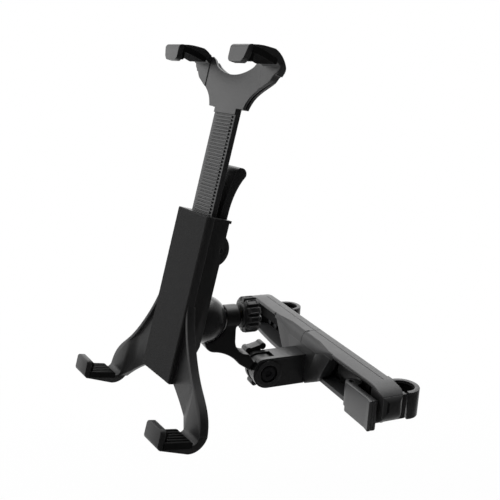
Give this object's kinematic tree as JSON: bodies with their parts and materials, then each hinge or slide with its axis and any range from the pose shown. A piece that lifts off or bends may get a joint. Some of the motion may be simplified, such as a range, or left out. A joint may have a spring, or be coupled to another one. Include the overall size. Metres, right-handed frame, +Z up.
{
  "type": "headrest tablet mount",
  "caption": "Car headrest tablet mount: clamp bar with post claws, elbow arm, half-ball joint and an extending cradle with hooks.",
  "frame": {"origin": "midway between the two headrest posts, at the middle of the claws' height", "axes": "+X along the clamp bar to the cam lever's end, +Y to the seat, +Z up along the posts"},
  "size_m": [0.202, 0.1858, 0.227],
  "materials": {
    "black_plastic": "satin",
    "black_rubber": "matt",
    "foam_pad": "fine texture",
    "steel": "blackened",
    "brass": "plain"
  },
  "bodies": {
    "bar": {"bar_body": "black_plastic", "right_cover": "black_plastic", "left_cover": "black_plastic", "cover_screws": "steel", "left_claw": "black_plastic", "left_liner": "black_rubber", "left_claw_screws": "steel", "arm_block": "black_plastic", "arm_screw": "steel", "pivot_bolt": "steel", "pivot_washer": "steel"},
    "block": {"clamp_block": "black_plastic"},
    "claw": {"right_claw": "black_plastic", "right_liner": "black_rubber"},
    "cam": {"cam_lever": "black_plastic", "cam_pin": "steel"},
    "wing": {"wing_nut": "black_plastic"},
    "arm": {"elbow_arm": "black_plastic", "ball_bolt": "steel", "clamp_cup": "steel"},
    "knob": {"ball_knob": "black_plastic", "knob_nut": "brass"},
    "yaw_ring": {"outer_washer": "black_plastic"},
    "pitch_ring": {"inner_washer": "black_plastic"},
    "cradle": {"ball_dome": "black_plastic", "ball_screws": "steel", "rear_shell": "black_plastic", "front_shell": "black_plastic", "front_pad": "foam_pad", "housing_screws": "steel", "lever_pin": "steel", "lever_spring": "steel", "lower_right_pad": "black_rubber", "lower_left_pad": "black_rubber"},
    "slider": {"slider_fork": "black_plastic", "upper_right_pad": "black_rubber", "upper_left_pad": "black_rubber"},
    "release": {"release_lever": "black_plastic"}
  },
  "joints": [
    {"name": "block_slide", "type": "slide", "parent": "bar", "child": "block", "axis": [1, 0, 0], "range_m": [-0.024, 0.003]},
    {"name": "claw_draw", "type": "slide", "parent": "block", "child": "claw", "axis": [0, 1, 0], "range_m": [0, 0.00141]},
    {"name": "cam_turn", "type": "hinge", "parent": "claw", "child": "cam", "pos_m": [0.0665, -0.0292, 0], "axis": [0, 0, 1], "range_deg": [-100, 0]},
    {"name": "wing_turn", "type": "hinge", "parent": "bar", "child": "wing", "pos_m": [0, -0.057, -0.0062], "axis": [1, 0, 0], "continuous": true},
    {"name": "elbow", "type": "hinge", "parent": "bar", "child": "arm", "pos_m": [0, -0.057, -0.0062], "axis": [1, 0, 0], "range_deg": [-30, 45]},
    {"name": "knob_turn", "type": "hinge", "parent": "arm", "child": "knob", "pos_m": [0, -0.07732, 0.035], "axis": [0, 1, 0], "continuous": true},
    {"name": "ball_yaw", "type": "hinge", "parent": "arm", "child": "yaw_ring", "pos_m": [0, -0.1029, 0.035], "axis": [0, 0, 1], "range_deg": [-22.4, 1.5]},
    {"name": "ball_pitch", "type": "hinge", "parent": "yaw_ring", "child": "pitch_ring", "pos_m": [0, -0.1029, 0.035], "axis": [0.9836, 0.1805, 0], "range_deg": [-0.4, 26.6]},
    {"name": "cradle_spin", "type": "hinge", "parent": "pitch_ring", "child": "cradle", "pos_m": [0, -0.1029, 0.035], "axis": [-0.1758, 0.958, -0.2267], "continuous": true},
    {"name": "fork_slide", "type": "slide", "parent": "cradle", "child": "slider", "axis": [-0.0409, 0.2229, 0.974], "range_m": [-0.062, 0.005]},
    {"name": "release_squeeze", "type": "hinge", "parent": "cradle", "child": "release", "pos_m": [-0.00023, -0.10163, 0.08378], "axis": [0.9836, 0.1805, 0], "range_deg": [0, 5], "stiffness_Nm_per_rad": 0.6, "springref_deg": -6.88, "deforming": ["lever_spring"]}
  ],
  "couplings": [
    {"joint": "claw_draw", "follows": "cam_turn", "m_per_rad": -0.00080694}
  ]
}
